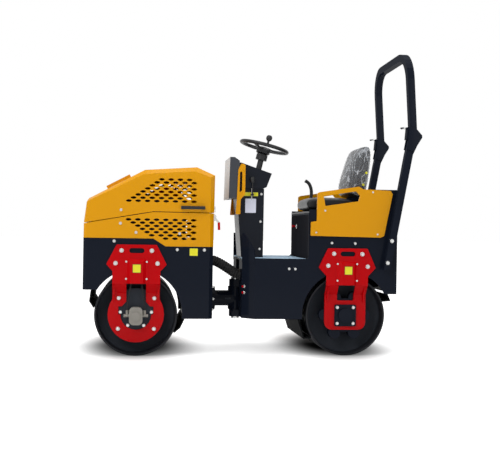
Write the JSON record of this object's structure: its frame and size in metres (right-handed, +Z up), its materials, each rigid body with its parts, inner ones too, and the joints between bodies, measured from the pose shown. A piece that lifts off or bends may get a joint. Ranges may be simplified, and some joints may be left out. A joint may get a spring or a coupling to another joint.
{
  "type": "road roller",
  "caption": "Small ride-on tandem road roller with a pivoting centre joint, perforated engine hood, seat, console and folding roll bar.",
  "frame": {"origin": "On the ground, at the middle of the whole machine's box.", "axes": "+X points to the rear of the machine, its longest way. +Y points to the machine's right side as it stands with its front at -X, and is its plane of symmetry's normal. +Z is up."},
  "size_m": [2.305, 0.91, 2.13],
  "materials": {
    "navy_paint": "semi-gloss dark navy enamel",
    "orange_paint": "gloss orange-yellow enamel",
    "red_paint": "gloss red enamel",
    "drum_steel": "dark coated steel",
    "cast_grey": "bare cast housing",
    "zinc": "zinc plated",
    "black_rubber": "matt black rubber",
    "black_plastic": "grained black plastic",
    "galvanised": "galvanised sheet",
    "floor_paint": "blue-grey anti-slip paint",
    "engine_grey": "satin grey engine paint",
    "pale_paint": "pale grey enamel",
    "seat_vinyl": "black vinyl seat cover"
  },
  "bodies": {
    "rear_frame": {"rear_frame": "navy_paint", "steering_pin": "zinc", "steering_cylinder_anchor": "navy_paint", "floor_plate": "floor_paint", "rear_bracket_left": "red_paint", "rear_bracket_right": "red_paint", "rear_bearing_left": "navy_paint", "rear_bearing_right": "navy_paint", "rear_cap_left": "navy_paint", "rear_cap_right": "navy_paint", "rear_scraper_ahead": "navy_paint", "rear_scraper_behind": "navy_paint", "side_panel_left": "orange_paint", "side_panel_right": "orange_paint", "seat_box_front": "galvanised", "seat_box_top": "black_plastic", "seat_cushion": "seat_vinyl", "seat_back": "seat_vinyl", "drive_lever": "black_plastic", "console_column": "navy_paint", "dash_box": "navy_paint", "console_guard": "pale_paint", "grab_rail_left": "orange_paint", "grab_rail_right": "orange_paint", "steering_column": "black_plastic", "throttle_lever": "black_plastic", "roll_bar_post_left": "navy_paint", "roll_bar_post_right": "navy_paint", "hose_bundle_rear": "black_rubber"},
    "centre_yoke": {"centre_yoke": "navy_paint"},
    "front_frame": {"front_frame": "navy_paint", "engine_cowl": "orange_paint", "engine_block": "engine_grey", "front_bracket_left": "red_paint", "front_bracket_right": "red_paint", "front_bearing_left": "navy_paint", "front_bearing_right": "navy_paint", "front_drive_motor": "cast_grey", "front_vibration_motor": "cast_grey", "motor_hose_front": "black_rubber", "motor_hose_rear": "black_rubber", "front_scraper_ahead": "navy_paint", "front_scraper_behind": "navy_paint", "hose_bundle_front": "black_rubber"},
    "hood": {"hood": "orange_paint"},
    "front_drum": {"front_drum": "drum_steel"},
    "rear_drum": {"rear_drum": "drum_steel"},
    "steering_wheel": {"steering_wheel": "black_plastic"},
    "roll_bar_hoop": {"roll_bar_hoop": "navy_paint"},
    "steering_cylinder_barrel": {"steering_cylinder_barrel": "black_plastic"},
    "steering_cylinder_rod": {"steering_cylinder_rod": "zinc"}
  },
  "joints": [
    {"name": "steer", "type": "hinge", "parent": "rear_frame", "child": "centre_yoke", "pos_m": [-0.0855, 0, 0.37], "axis": [0, 0, 1], "range_deg": [-30, 30], "deforming": ["hose_bundle_rear"]},
    {"name": "oscillation", "type": "hinge", "parent": "centre_yoke", "child": "front_frame", "pos_m": [-0.0855, 0, 0.37], "axis": [1, 0, 0], "range_deg": [-8, 8], "deforming": ["hose_bundle_front"]},
    {"name": "hood_lift", "type": "hinge", "parent": "front_frame", "child": "hood", "pos_m": [-1.1475, 0, 0.897], "axis": [0, -1, 0], "range_deg": [0, 55]},
    {"name": "front_drum_spin", "type": "hinge", "parent": "front_frame", "child": "front_drum", "pos_m": [-0.7955, 0, 0.28], "axis": [0, 1, 0], "continuous": true},
    {"name": "rear_drum_spin", "type": "hinge", "parent": "rear_frame", "child": "rear_drum", "pos_m": [0.6515, 0, 0.28], "axis": [0, 1, 0], "continuous": true},
    {"name": "steering_wheel_turn", "type": "hinge", "parent": "rear_frame", "child": "steering_wheel", "pos_m": [0.1105, 0, 1.47], "axis": [0.2368, 0, 0.9715], "continuous": true},
    {"name": "roll_bar_fold", "type": "hinge", "parent": "rear_frame", "child": "roll_bar_hoop", "pos_m": [1.1385, 0, 1.53], "axis": [0, 1, 0], "range_deg": [0, 160]},
    {"name": "steering_cylinder_swing", "type": "hinge", "parent": "rear_frame", "child": "steering_cylinder_barrel", "pos_m": [0.2445, 0.128, 0.37], "axis": [0, 0, 1], "range_deg": [-6, 6]},
    {"name": "steering_rod_slide", "type": "slide", "parent": "steering_cylinder_barrel", "child": "steering_cylinder_rod", "axis": [-0.993, -0.1184, 0], "range_m": [-0.05, 0.05]}
  ],
  "couplings": [
    {"joint": "steering_cylinder_swing", "follows": "steer", "ratio": 0.094604},
    {"joint": "steering_rod_slide", "follows": "steer", "m_per_rad": 0.086109}
  ]
}
